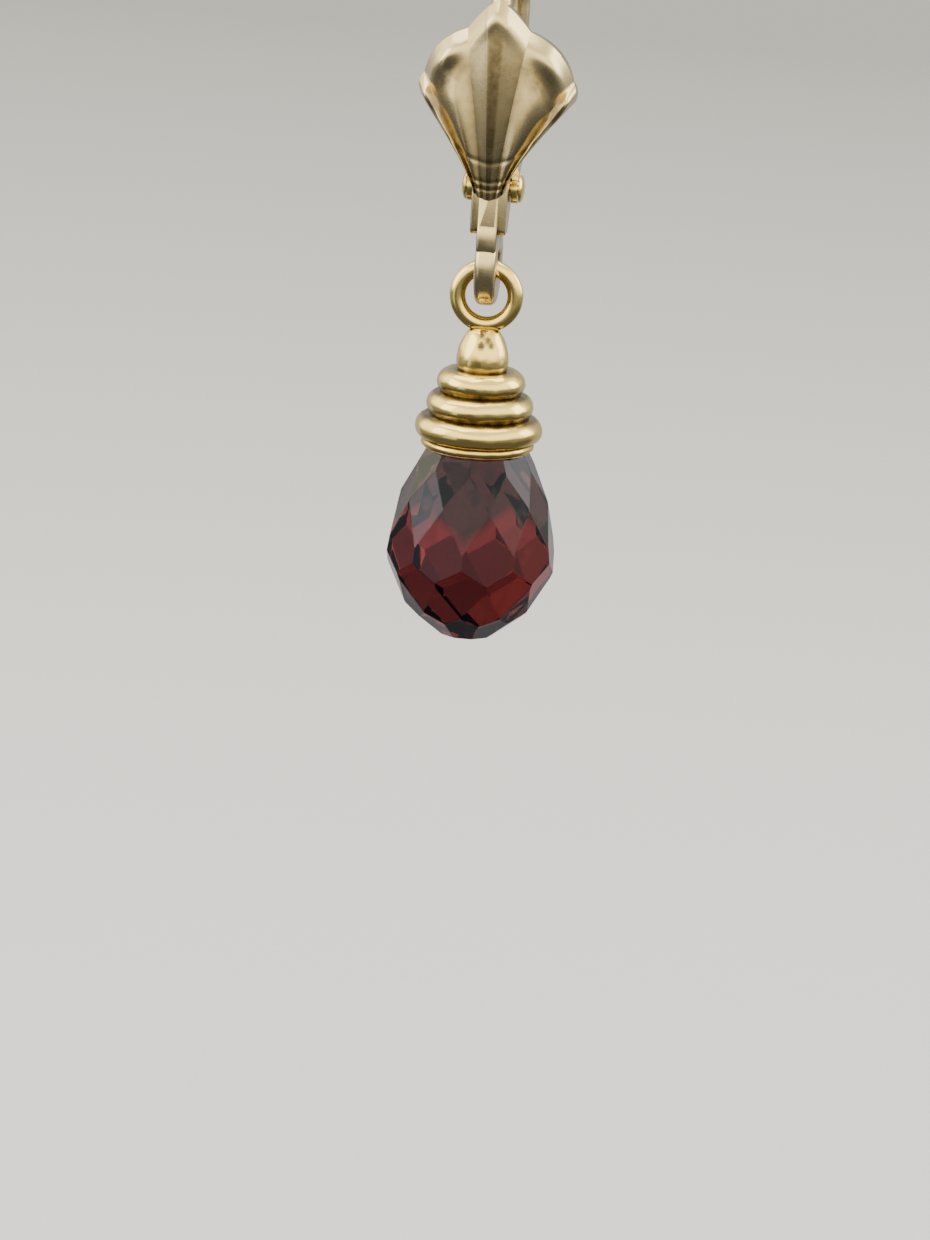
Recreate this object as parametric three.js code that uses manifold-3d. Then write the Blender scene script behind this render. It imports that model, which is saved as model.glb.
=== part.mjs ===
import * as THREE from 'three';
import { mergeVertices } from 'three/addons/utils/BufferGeometryUtils.js';
import { ConvexHull } from 'three/addons/math/ConvexHull.js';
import { ConvexGeometry } from 'three/addons/geometries/ConvexGeometry.js';
import Module from 'manifold-3d';

// Drop earring on a lever-back, in millimetres, +Z up, front towards -Y.
// The origin is the inner top of the ear wire's arch, where the pierced lobe carries it.

// Ear wire
const wireDiameter = 0.8;
const archRadius = 4.1;
const wireRearLength = 2.2;
const wireSolderLength = 2.6;
const wireSink = 0.32;
const wireEndShare = 0.96;

// Shell plate
const shellBelowArch = 2.6;
const shellHeight = 7.9;
const shellHalfWidth = 3.12;
const noseHalfWidth = 0.62;
const noseRound = 0.3;
const edgeConcavity = 1.35;
const plateThickness = 0.75;
const plateDome = 1.2;
const plateBelly = 0.45;
const backHollow = 0.6;
const fluteDepth = 0.38;
const fluteDepthAtNose = 0.12;
const ribShare = 0.14;
const ribSink = 0.12;
const ribFlankBend = 0.8;
const topRoll = 0.35;
const topRollShare = 0.16;
const rimBead = 0.16;
const rimBeadAt = 0.925;
const rimBeadWidth = 0.055;
const hollowDepth = 0.14;
const hollowAt = 0.79;
const hollowWidth = 0.085;

// Hinge bracket and pin
const strapHalfWidth = 0.38;
const strapProud = 0.24;
const bracketHalfWidth = 0.72;
const bracketEdge = 0.16;
const bracketFrontAhead = 1.65;
const bracketTopAbovePin = 1.1;
const bracketBelowPin = 1.75;
const bracketFoot = 1.2;
const bracketWall = 0.3;
const bracketRoot = 0.55;
const bracketHeelAngle = 36;
const tongueHalfWidth = 0.4;
const tongueAbove = 0.45;
const tongueBelow = 0.7;
const tongueProud = 0.1;
const tongueDepth = 0.9;
const pinAboveShellBottom = 0.25;
const pinBehindLeg = 1.3;
const pinRadius = 0.28;
const knuckleRadius = 0.6;
const pinHeadRadius = 0.58;
const pinHeadHeight = 0.2;

// Lever
const leverCheek = 0.25;
const leverSlotRoom = 0.35;
const leverThickness = 0.62;
const leverTipThickness = 1.2;
const leverBandHalfWidth = 0.66;
const leverTaperLength = 2.4;
const leverCatchLength = 1.1;
const leverReach = 6.0;
const leverSag = 0.35;
const leverRise = 1.9;
const leverEdge = 0.1;
const leverSwellFrom = 0.55;

// Open loop
const loopHoleRadius = 0.55;
const loopBar = 1.15;
const loopWidth = 0.86;
const loopCorner = 0.3;
const loopSolder = 0.35;
const loopProud = 0.2;
const loopSlit = 0.1;
const loopSlitAngle = 25;

// Eye ring of the drop
const eyeHoleRadius = 0.86;
const eyeWire = 0.65;
const eyeDepth = 0.6;

// Cap
const capTopBelowEye = 1.32;
const capHeight = 5.0;
const capRadius = 2.63;
const domeRadius = 1.06;
const domeShoulder = 0.66;
const domeFlat = 0.53;
const domeFootIn = 0.06;
const ridgeRound = 0.53;
const ridgeTopAngle = 66;
const ridgeBottomAngle = -46;
const lipRound = 0.19;
const lipTopAngle = 70;
const lipBottomAngle = -90;
const pegRadius = 0.4;
const pegLength = 1.4;
const capSeatDepth = 0.9;

// Briolette
const stoneHeight = 8.85;
const stoneRadius = 3.55;
const stoneSides = 10;

// Clearances between pieces
const runningGap = 0.05;
const seatGap = 0.06;
const hangGap = 0.08;

// Faces round a turned piece
const turnedSides = 32;
const ringSides = 24;
const boreSides = 16;
const knuckleSides = 24;
const wireSides = 12;
const wireSteps = 36;
const wireEndRows = 6;
const eyeSectionSides = 10;
const barCornerSteps = 3;
const domeSteps = 7;
const ridgeSteps = 6;
const lipSteps = 4;
const headSteps = 5;
const leverSteps = 20;
const shellColumns = 40;
const shellRows = 22;

// Points closer than these are one point
const weldDistance = 1e-5;
const cornerDistance = 1e-4;
const shareTolerance = 1e-9;

// Scallops of the shell's top edge, from the tip out to the corner. across: column share
// where the lobe ends; out, up: shares of the half width and the height; bulge: share of
// the height by which its arc stands out; bend: power by which it falls away from its start
const tipOfShell = { across: 0, out: 0, up: 1 };
const shellLobes = [
  { across: 0.4, out: 0.4, up: 0.845, bulge: 0, bend: 1.35 },
  { across: 0.85, out: 0.96, up: 0.6, bulge: 0.045, bend: 1 },
  { across: 1, out: 1, up: 0.5, bulge: 0.012, bend: 1 },
];

// Belly of the plate: it is fullest at this share of the height
const bellyFullest = 0.6;

// Ridges of the cap. down: share of the cap height; out: share of the cap radius
const capRidges = [
  { down: 0.452, out: 0.69 },
  { down: 0.642, out: 0.838 },
  { down: 0.832, out: 1 },
];
const capLip = { down: 0.962, out: 0.888 };
const domeWidest = 0.27;
const domeFoot = 0.35;
const domeShoulderDown = 0.03;

// Rows of flat facets. turn: half steps round the stone; down, out: shares of the height
// and the radius where the row starts; widen: radius gained per length going down
const facetRows = [
  { turn: 1, down: 0, out: 0.432, widen: 0.52 },
  { turn: 0, down: 0.174, out: 0.693, widen: 0.323 },
  { turn: 1, down: 0.302, out: 0.854, widen: 0.135 },
  { turn: 0, down: 0.587, out: 1.018, widen: -0.397 },
  { turn: 1, down: 0.691, out: 0.967, widen: -0.619 },
  { turn: 0, down: 0.857, out: 0.744, widen: -1.22 },
];

// Places worked out from the sizes above
const wireRadius = wireDiameter / 2;
const archCentreZ = wireRadius - archRadius;
const legY = -archRadius;
const shellTopZ = -shellBelowArch;
const shellBottomZ = shellTopZ - shellHeight;
const plateBackY = legY - wireRadius + wireSink;
const pinY = legY + pinBehindLeg;
const pinZ = shellBottomZ + pinAboveShellBottom;
const bracketBottomZ = pinZ - bracketBelowPin;
const bracketFrontY = pinY - bracketFrontAhead;
const loopRadius = loopHoleRadius + loopBar;
const loopY = bracketFrontY - loopProud + loopRadius;
const loopZ = bracketBottomZ + loopSolder - loopRadius;
const eyeZ = loopZ - loopHoleRadius + hangGap - eyeHoleRadius;
const capTopZ = eyeZ - capTopBelowEye;
const capBottomZ = capTopZ - capHeight;
const cheekInnerX = bracketHalfWidth + runningGap;
const cheekOuterX = cheekInnerX + leverCheek;
const wireTipZ = archCentreZ - wireRearLength;
const stoneTopZ = capBottomZ + capSeatDepth;

const wasm = await Module();
wasm.setup();

function solid(geometry) {
  const bare = geometry.index ? geometry.toNonIndexed() : geometry.clone();
  bare.deleteAttribute('normal');
  bare.deleteAttribute('uv');
  const merged = mergeVertices(bare, weldDistance);
  return new wasm.Manifold(new wasm.Mesh({
    numProp: 3,
    vertProperties: new Float32Array(merged.attributes.position.array),
    triVerts: new Uint32Array(merged.index.array),
  }));
}

function geometryOf(manifold) {
  const mesh = manifold.getMesh();
  const geometry = new THREE.BufferGeometry();
  geometry.setAttribute('position', new THREE.BufferAttribute(mesh.vertProperties, 3));
  geometry.setIndex(new THREE.BufferAttribute(mesh.triVerts, 1));
  geometry.computeVertexNormals();
  return geometry;
}

// A side outline drawn in (y, z), given its width along X about the middle plane
function acrossX(shape, width, options) {
  const geometry = new THREE.ExtrudeGeometry(shape, { depth: width, ...options });
  geometry.translate(0, 0, -width / 2);
  const along = (x, y, z) => new THREE.Vector3(x, y, z);
  const turn = new THREE.Matrix4();
  turn.makeBasis(along(0, 1, 0), along(0, 0, 1), along(1, 0, 0));
  geometry.applyMatrix4(turn);
  return geometry;
}

// Settings for the one flat facet that breaks a side plate's edges
function edgeOf(size) {
  return { bevelThickness: size, bevelSize: size, bevelOffset: -size, bevelSegments: 1 };
}

function cylinderAcrossX(radius, width, sides) {
  const geometry = new THREE.CylinderGeometry(radius, radius, width, sides);
  geometry.rotateZ(Math.PI / 2);
  return geometry;
}

// A ring turned about its own axis (three.js Y), from a closed section of radius and offset
function turnedRing(section, sides) {
  return new THREE.LatheGeometry([...section, section[0]], sides);
}

function ellipseSection(centre, halfOut, halfAlong, points) {
  const section = [];
  for (let i = 0; i < points; i += 1) {
    const angle = (i / points) * 2 * Math.PI;
    section.push(new THREE.Vector2(centre + halfOut * Math.cos(angle), halfAlong * Math.sin(angle)));
  }
  return section;
}

function roundedBarSection(inner, outer, halfAlong, corner) {
  const shape = new THREE.Shape();
  shape.absarc(outer - corner, halfAlong - corner, corner, 0, Math.PI / 2);
  shape.absarc(inner + corner, halfAlong - corner, corner, Math.PI / 2, Math.PI);
  shape.absarc(inner + corner, corner - halfAlong, corner, Math.PI, 1.5 * Math.PI);
  shape.absarc(outer - corner, corner - halfAlong, corner, 1.5 * Math.PI, 2 * Math.PI);
  return shape.getPoints(barCornerSteps).slice(0, -1);
}

// Shell plate: a fan of flutes from the nose up to the scalloped edge
function shellTopEdge(across) {
  let start = tipOfShell;
  for (const lobe of shellLobes) {
    if (across <= lobe.across + shareTolerance) {
      const t = (across - start.across) / (lobe.across - start.across);
      const arc = 4 * t * (1 - t) * lobe.bulge * shellHeight;
      const run = (lobe.out - start.out) * shellHalfWidth;
      const rise = (lobe.up - start.up) * shellHeight;
      const length = Math.hypot(run, rise);
      return {
        x: start.out * shellHalfWidth + run * t - (rise / length) * arc,
        z: start.up * shellHeight + rise * t ** lobe.bend + (run / length) * arc,
      };
    }
    start = lobe;
  }
  return { x: shellHalfWidth, z: start.up * shellHeight };
}

// 0 on the crest of a flute and 1 in the groove beside it. The middle flute is a narrow
// rib with sloping flanks, the others are round
function fluteSink(across) {
  if (across <= ribShare) {
    return ribSink * (across / ribShare) ** 2;
  }
  const centre = shellLobes[0].across;
  if (across <= centre) {
    const flank = (across - ribShare) / (centre - ribShare);
    return ribSink + (1 - ribSink) * flank ** ribFlankBend;
  }
  let start = centre;
  for (const lobe of shellLobes.slice(1)) {
    if (across <= lobe.across + shareTolerance) {
      return 1 - Math.sin(((across - start) / (lobe.across - start)) * Math.PI);
    }
    start = lobe.across;
  }
  return 1;
}

function shellPoint(across, up, isBack) {
  const share = Math.abs(across);
  const top = shellTopEdge(share);
  const footZ = noseRound * share * share;
  const spread = up ** (1 + (edgeConcavity - 1) * share);
  const x = share * noseHalfWidth + (top.x - share * noseHalfWidth) * spread;
  const z = footZ + (top.z - footZ) * up;
  const outward = (x / shellHalfWidth) ** 2;
  const roll = Math.max(0, (up - 1 + topRollShare) / topRollShare) ** 2 * topRoll;
  const full = Math.min(up / bellyFullest, 2 - up / bellyFullest);
  const belly = plateBelly * Math.sin((Math.PI / 2) * full);
  const fromBead = (up - rimBeadAt) / rimBeadWidth;
  const bead = rimBead * Math.exp(-fromBead * fromBead) * (1 - fluteSink(share) / 2);
  const fromHollow = (up - hollowAt) / hollowWidth;
  const sideLobe = share > shellLobes[0].across ? 1 - fluteSink(share) : 0;
  const hollow = hollowDepth * Math.exp(-fromHollow * fromHollow) * sideLobe;
  const base = plateBackY - plateThickness - belly + plateDome * outward;
  const depth = fluteDepthAtNose + (fluteDepth - fluteDepthAtNose) * up;
  const front = base + depth * fluteSink(share) + roll - bead + hollow;
  const back = base + plateThickness + (belly + roll) * backHollow;
  return new THREE.Vector3(Math.sign(across) * x, isBack ? back : front, shellBottomZ + z);
}

function shellPlate() {
  const geometry = new THREE.BoxGeometry(2, 1, 1, shellColumns, 1, shellRows);
  const positions = geometry.attributes.position;
  for (let i = 0; i < positions.count; i += 1) {
    const point = shellPoint(positions.getX(i), positions.getZ(i) + 0.5, positions.getY(i) > 0);
    positions.setXYZ(i, point.x, point.y, point.z);
  }
  return geometry;
}

class EarWireCurve extends THREE.Curve {
  getPoint(share) {
    const arc = Math.PI * archRadius;
    const length = wireSolderLength + arc + wireRearLength;
    const at = share * length;
    if (at < wireSolderLength) {
      return new THREE.Vector3(0, legY, archCentreZ - wireSolderLength + at);
    }
    if (at > wireSolderLength + arc) {
      return new THREE.Vector3(0, archRadius, archCentreZ - (at - wireSolderLength - arc));
    }
    const angle = Math.PI - (at - wireSolderLength) / archRadius;
    const y = archRadius * Math.cos(angle);
    const z = archCentreZ + archRadius * Math.sin(angle);
    return new THREE.Vector3(0, y, z);
  }
}

function earWire() {
  const section = new THREE.Shape();
  for (let i = 0; i < wireSides; i += 1) {
    const angle = (i / wireSides) * 2 * Math.PI;
    const point = [wireRadius * Math.cos(angle), wireRadius * Math.sin(angle)];
    if (i === 0) {
      section.moveTo(...point);
    } else {
      section.lineTo(...point);
    }
  }
  section.closePath();
  return new THREE.ExtrudeGeometry(section, {
    steps: wireSteps,
    extrudePath: new EarWireCurve(),
    bevelEnabled: false,
  });
}

// A round end, a little thinner than the wire so that it stays inside its flat sides
function wireEnd(y, z) {
  const geometry = new THREE.SphereGeometry(wireRadius * wireEndShare, wireSides, wireEndRows);
  geometry.translate(0, y, z);
  return geometry;
}

// Bracket seen from the side: its front, the foot over the loop and the knuckle round the pin
function bracketOutline(frontY) {
  const topZ = pinZ + bracketTopAbovePin;
  const heel = THREE.MathUtils.degToRad(-bracketHeelAngle);
  const shape = new THREE.Shape();
  shape.moveTo(frontY, topZ);
  shape.lineTo(frontY, bracketBottomZ + bracketEdge);
  shape.lineTo(frontY + bracketEdge, bracketBottomZ);
  shape.lineTo(bracketFrontY + bracketFoot, bracketBottomZ);
  shape.lineTo(pinY + knuckleRadius * Math.cos(heel), pinZ + knuckleRadius * Math.sin(heel));
  shape.absarc(pinY, pinZ, knuckleRadius, heel, Math.PI / 2, false);
  shape.lineTo(bracketFrontY + bracketRoot, topZ);
  shape.closePath();
  return shape;
}

// Tongue that carries the strap's front down onto the loop
function tongue() {
  const shape = new THREE.Shape();
  shape.moveTo(bracketFrontY, bracketBottomZ + tongueAbove);
  shape.lineTo(bracketFrontY - tongueProud, bracketBottomZ + tongueProud);
  shape.lineTo(bracketFrontY - tongueProud, bracketBottomZ - tongueBelow / 2);
  shape.lineTo(bracketFrontY - tongueProud / 2, bracketBottomZ - tongueBelow);
  shape.lineTo(bracketFrontY + tongueDepth, bracketBottomZ - tongueBelow);
  shape.lineTo(bracketFrontY + tongueDepth, bracketBottomZ + tongueAbove);
  shape.closePath();
  return solid(acrossX(shape, 2 * tongueHalfWidth - bracketEdge, edgeOf(bracketEdge / 2)));
}

function bracket() {
  const edges = { ...edgeOf(bracketEdge / 2), curveSegments: 8 };
  const strapWidth = 2 * strapHalfWidth - bracketEdge;
  const cheeksWidth = 2 * bracketHalfWidth - bracketEdge;
  const strap = acrossX(bracketOutline(bracketFrontY), strapWidth, edges);
  const cheeks = acrossX(bracketOutline(bracketFrontY + strapProud), cheeksWidth, edges);
  const slotHalfWidth = bracketHalfWidth - bracketWall;
  const slotHeight = bracketTopAbovePin + bracketBelowPin;
  const slotDepth = bracketFrontAhead + knuckleRadius;
  const slot = new THREE.BoxGeometry(2 * slotHalfWidth, slotDepth, slotHeight);
  const slotY = bracketFrontY + bracketRoot + slotDepth / 2;
  const slotZ = bracketBottomZ + bracketRoot + slotHeight / 2;
  slot.translate(0, slotY, slotZ);
  const hole = cylinderAcrossX(pinRadius + runningGap, 4 * bracketHalfWidth, boreSides);
  hole.translate(0, pinY, pinZ);
  const body = solid(strap).add(solid(cheeks)).add(tongue());
  return body.subtract(solid(slot)).subtract(solid(hole));
}

function openLoop() {
  const section = roundedBarSection(loopHoleRadius, loopRadius, loopWidth / 2, loopCorner);
  const ring = turnedRing(section, ringSides);
  ring.rotateZ(Math.PI / 2);
  ring.translate(0, loopY, loopZ);
  const slit = new THREE.BoxGeometry(2 * loopWidth, 2 * loopBar, loopSlit);
  slit.translate(0, loopHoleRadius + loopBar, 0);
  slit.rotateX(THREE.MathUtils.degToRad(loopSlitAngle));
  slit.translate(0, loopY, loopZ);
  return solid(ring).subtract(solid(slit));
}

function shellFront() {
  return solid(shellPlate())
    .add(solid(earWire()))
    .add(solid(wireEnd(archRadius, wireTipZ)))
    .add(solid(wireEnd(legY, archCentreZ - wireSolderLength)))
    .add(bracket())
    .add(openLoop());
}

function hingePin() {
  const halfShaft = cheekOuterX + runningGap;
  const profile = [new THREE.Vector2(0, halfShaft + pinHeadHeight)];
  for (let i = 1; i <= headSteps; i += 1) {
    const angle = (i / headSteps) * Math.PI / 2;
    const along = halfShaft + pinHeadHeight * Math.cos(angle);
    profile.push(new THREE.Vector2(pinHeadRadius * Math.sin(angle), along));
  }
  profile.push(new THREE.Vector2(pinRadius, halfShaft));
  const mirrored = profile.map((point) => new THREE.Vector2(point.x, -point.y));
  const geometry = new THREE.LatheGeometry([...mirrored, ...profile.reverse()], boreSides);
  geometry.rotateZ(Math.PI / 2);
  geometry.translate(0, pinY, pinZ);
  return solid(geometry);
}

// Lever seen from the side: a band that leaves the knuckle and rises to the wire's end. It
// is wide at its cheeks, narrow behind them and thick at its tip, where the wire's cup is
function leverBand() {
  const tip = new THREE.Vector2(archRadius + wireRadius / 2, wireTipZ + leverCatchLength);
  const path = new THREE.CubicBezierCurve(
    new THREE.Vector2(pinY, pinZ),
    new THREE.Vector2(pinY + leverReach, pinZ - leverSag),
    new THREE.Vector2(tip.x, pinZ + leverRise),
    tip,
  );
  const inner = [];
  const outer = [];
  for (let i = 0; i <= leverSteps; i += 1) {
    const share = i / leverSteps;
    const point = path.getPoint(share);
    const tangent = path.getTangent(share);
    const swell = Math.max(0, (share - leverSwellFrom) / (1 - leverSwellFrom)) ** 2;
    const half = (leverThickness + (leverTipThickness - leverThickness) * swell) / 2;
    outer.push(new THREE.Vector2(point.x + tangent.y * half, point.y - tangent.x * half));
    inner.push(new THREE.Vector2(point.x - tangent.y * half, point.y + tangent.x * half));
  }
  return new THREE.Shape([...outer, ...inner.reverse()]);
}

function lever() {
  const band = acrossX(leverBand(), 2 * (cheekOuterX - leverEdge), edgeOf(leverEdge));
  const taperFromY = pinY + knuckleRadius + 3 * runningGap;
  const taperToY = taperFromY + leverTaperLength;
  const positions = band.attributes.position;
  for (let i = 0; i < positions.count; i += 1) {
    const away = THREE.MathUtils.smoothstep(positions.getY(i), taperFromY, taperToY);
    const taper = THREE.MathUtils.lerp(1, leverBandHalfWidth / cheekOuterX, away);
    positions.setX(i, positions.getX(i) * taper);
  }
  const knuckle = cylinderAcrossX(knuckleRadius, 2 * cheekOuterX, knuckleSides);
  const slot = cylinderAcrossX(knuckleRadius + leverSlotRoom, 2 * cheekInnerX, knuckleSides);
  const hole = cylinderAcrossX(pinRadius + runningGap, 4 * cheekOuterX, boreSides);
  for (const turned of [knuckle, slot, hole]) {
    turned.translate(0, pinY, pinZ);
  }
  const cupRadius = wireRadius + runningGap;
  const cupFloorZ = wireTipZ - wireRadius - 2 * runningGap;
  const cup = new THREE.BoxGeometry(2 * cupRadius, 4 * cupRadius, 2 * leverCatchLength);
  cup.translate(0, archRadius - cupRadius, cupFloorZ + leverCatchLength);
  const arm = solid(band).add(solid(knuckle));
  return arm.subtract(solid(slot)).subtract(solid(hole)).subtract(solid(cup));
}

// Radius of the stone's corners at a height under the cap
function stoneRadiusAt(z) {
  const top = facetRows[0];
  return (top.out * stoneRadius + top.widen * (stoneTopZ - z)) / Math.cos(Math.PI / stoneSides);
}

function arcPoints(centreOut, centreZ, radius, from, to, steps) {
  const points = [];
  for (let i = 0; i <= steps; i += 1) {
    const angle = THREE.MathUtils.degToRad(from + ((to - from) * i) / steps);
    const out = centreOut + radius * Math.cos(angle);
    points.push(new THREE.Vector2(out, centreZ + radius * Math.sin(angle)));
  }
  return points;
}

// Dome from its shoulder over the widest ring to the groove at its foot
function domePoints() {
  const widestZ = capTopZ - domeWidest * capHeight;
  const footZ = capTopZ - domeFoot * capHeight;
  const shoulderZ = capTopZ - domeShoulderDown * capHeight;
  const points = [];
  const footIn = domeFootIn * domeRadius;
  for (let i = 0; i <= domeSteps; i += 1) {
    const z = THREE.MathUtils.lerp(shoulderZ, footZ, i / domeSteps);
    const above = z > widestZ;
    const reach = (z - widestZ) / (above ? shoulderZ - widestZ : widestZ - footZ);
    const fall = above ? domeRadius - domeShoulder : footIn;
    points.push(new THREE.Vector2(domeRadius - fall * reach * reach, z));
  }
  return points;
}

function dropCap() {
  const ceilingZ = stoneTopZ + seatGap;
  const pegEndZ = stoneTopZ - pegLength;
  const outline = [new THREE.Vector2(0, capTopZ), new THREE.Vector2(domeFlat, capTopZ)];
  outline.push(...domePoints());
  for (const ridge of capRidges) {
    const centreOut = ridge.out * capRadius - ridgeRound;
    const ridgeZ = capTopZ - ridge.down * capHeight;
    const angles = [ridgeTopAngle, ridgeBottomAngle];
    outline.push(...arcPoints(centreOut, ridgeZ, ridgeRound, ...angles, ridgeSteps));
  }
  const lipOut = capLip.out * capRadius - lipRound;
  const lipZ = capTopZ - capLip.down * capHeight;
  outline.push(...arcPoints(lipOut, lipZ, lipRound, lipTopAngle, lipBottomAngle, lipSteps));
  outline.push(new THREE.Vector2(stoneRadiusAt(capBottomZ) + seatGap, capBottomZ));
  outline.push(new THREE.Vector2(stoneRadiusAt(ceilingZ) + seatGap, ceilingZ));
  outline.push(new THREE.Vector2(pegRadius, ceilingZ));
  outline.push(new THREE.Vector2(pegRadius, pegEndZ));
  outline.push(new THREE.Vector2(0, pegEndZ));
  const bell = new THREE.LatheGeometry(outline.reverse(), turnedSides);
  bell.rotateX(Math.PI / 2);
  bell.translate(0, loopY, 0);
  const eyeMiddle = eyeHoleRadius + eyeWire / 2;
  const eyeSection = ellipseSection(eyeMiddle, eyeWire / 2, eyeDepth / 2, eyeSectionSides);
  const eye = turnedRing(eyeSection, ringSides);
  eye.translate(0, loopY, eyeZ);
  return solid(bell).add(solid(eye));
}

// A facet is a flat plane; each corner of the stone lies where three or more planes meet
function briolette() {
  const centreZ = -stoneHeight / 2;
  const duals = [];
  const addPlane = (normal, through) => {
    duals.push(normal.clone().divideScalar(normal.dot(through)));
  };
  for (const row of facetRows) {
    for (let i = 0; i < stoneSides; i += 1) {
      const angle = ((i + row.turn / 2) / stoneSides) * 2 * Math.PI - Math.PI / 2;
      const out = new THREE.Vector3(Math.cos(angle), Math.sin(angle), 0);
      const through = out.clone().multiplyScalar(row.out * stoneRadius);
      through.z = -row.down * stoneHeight - centreZ;
      addPlane(out.clone().setZ(row.widen), through);
    }
  }
  addPlane(new THREE.Vector3(0, 0, 1), new THREE.Vector3(0, 0, -centreZ));
  addPlane(new THREE.Vector3(0, 0, -1), new THREE.Vector3(0, 0, -stoneHeight - centreZ));
  const corners = [];
  for (const face of new ConvexHull().setFromPoints(duals).faces) {
    const corner = face.normal.clone().divideScalar(face.constant);
    if (!corners.some((other) => other.distanceTo(corner) < cornerDistance)) {
      corners.push(corner);
    }
  }
  const geometry = new ConvexGeometry(corners);
  geometry.translate(0, loopY, stoneTopZ + centreZ);
  const drillRadius = pegRadius + seatGap;
  const drillLength = 2 * (pegLength + seatGap);
  const drill = new THREE.CylinderGeometry(drillRadius, drillRadius, drillLength, boreSides);
  drill.rotateX(Math.PI / 2);
  drill.translate(0, loopY, stoneTopZ);
  return solid(geometry).subtract(solid(drill));
}

const gold = { color: 0xd9bd7c, roughness: 0.22, metalness: 1 };
const garnet = { color: 0x5a0f12, roughness: 0.05, metalness: 0 };

function piece(name, manifold, finish) {
  const mesh = new THREE.Mesh(geometryOf(manifold), new THREE.MeshStandardMaterial(finish));
  mesh.name = name;
  return mesh;
}

const earring = new THREE.Group();
earring.add(piece('shell_front', shellFront(), gold));
earring.add(piece('hinge_pin', hingePin(), gold));
earring.add(piece('lever', lever(), gold));
earring.add(piece('drop_cap', dropCap(), gold));
earring.add(piece('briolette', briolette(), garnet));

export default earring;
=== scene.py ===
"""Looks of one gold lever-back earring with a ridged cap and a faceted dark red drop.

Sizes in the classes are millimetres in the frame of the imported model: +Z up, the shell
faces -Y, and the origin is the inner top of the ear wire's arch.
"""

import logging
import math
from dataclasses import dataclass
from enum import Enum
from typing import Any, Callable, Sequence

import bpy
from mathutils import Matrix, Vector


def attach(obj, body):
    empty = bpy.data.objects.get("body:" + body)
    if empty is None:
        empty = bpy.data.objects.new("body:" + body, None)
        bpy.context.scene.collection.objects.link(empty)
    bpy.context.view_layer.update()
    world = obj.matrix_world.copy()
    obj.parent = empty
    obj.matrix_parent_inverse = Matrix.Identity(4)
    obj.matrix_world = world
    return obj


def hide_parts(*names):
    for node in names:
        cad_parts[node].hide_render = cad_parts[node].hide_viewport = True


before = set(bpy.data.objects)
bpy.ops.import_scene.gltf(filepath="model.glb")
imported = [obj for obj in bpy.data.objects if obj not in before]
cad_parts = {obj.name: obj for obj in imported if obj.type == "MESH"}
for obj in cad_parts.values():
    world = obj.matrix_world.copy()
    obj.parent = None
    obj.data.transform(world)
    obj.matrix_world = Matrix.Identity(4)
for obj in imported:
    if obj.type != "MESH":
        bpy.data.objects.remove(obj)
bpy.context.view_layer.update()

LOG = logging.getLogger("earring")
MM = 0.001
WELD = 1e-4
# The name of the stored map of tarnish and painted shade that the gold reads
TARNISH_AND_SHADE = "groove"
Pair = tuple[float, float]
Triple = tuple[float, float, float]
Colour = tuple[float, float, float, float]
Piece = bpy.types.Object
Material = bpy.types.Material
Socket = bpy.types.NodeSocket


class Body(Enum):
    """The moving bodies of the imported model."""

    FRONT = "front"
    LEVER = "lever"
    DROP = "drop"


class Slot(Enum):
    """The record's material slots."""

    GOLD = "gold"
    GARNET = "garnet"


class Axis(Enum):
    """The direction that a turned piece runs along."""

    UP = "Z"
    ACROSS = "X"


# Shading


class Signal:
    """A number that changes over a surface, held as the socket that carries it."""

    def __init__(self, board: "Board", socket: Socket) -> None:
        """Wrap a socket of a node board."""
        self.board = board
        self.socket = socket

    def __add__(self, other: Any) -> "Signal":
        """Add two numbers."""
        return self.board.maths("ADD", self, other)

    __radd__ = __add__

    def __sub__(self, other: Any) -> "Signal":
        """Take a number from this one."""
        return self.board.maths("SUBTRACT", self, other)

    def __rsub__(self, other: Any) -> "Signal":
        """Take this number from another."""
        return self.board.maths("SUBTRACT", other, self)

    def __mul__(self, other: Any) -> "Signal":
        """Multiply two numbers."""
        return self.board.maths("MULTIPLY", self, other)

    __rmul__ = __mul__

    def kept(self, low: float = 0.0, high: float = 1.0) -> "Signal":
        """Keep this number between two others."""
        return self.board.maths("MINIMUM", self.board.maths("MAXIMUM", self, low), high)

    def step(self, start: float, end: float) -> "Signal":
        """Rise from 0 to 1 as this number goes from start to end."""
        return ((self - start) * (1.0 / (end - start))).kept()

    def band(self, start: float, full: float, fading: float, end: float) -> "Signal":
        """Rise to 1 between two values of this number and fall back to 0 between two more."""
        return self.step(start, full) * (1.0 - self.step(fading, end))


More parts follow.
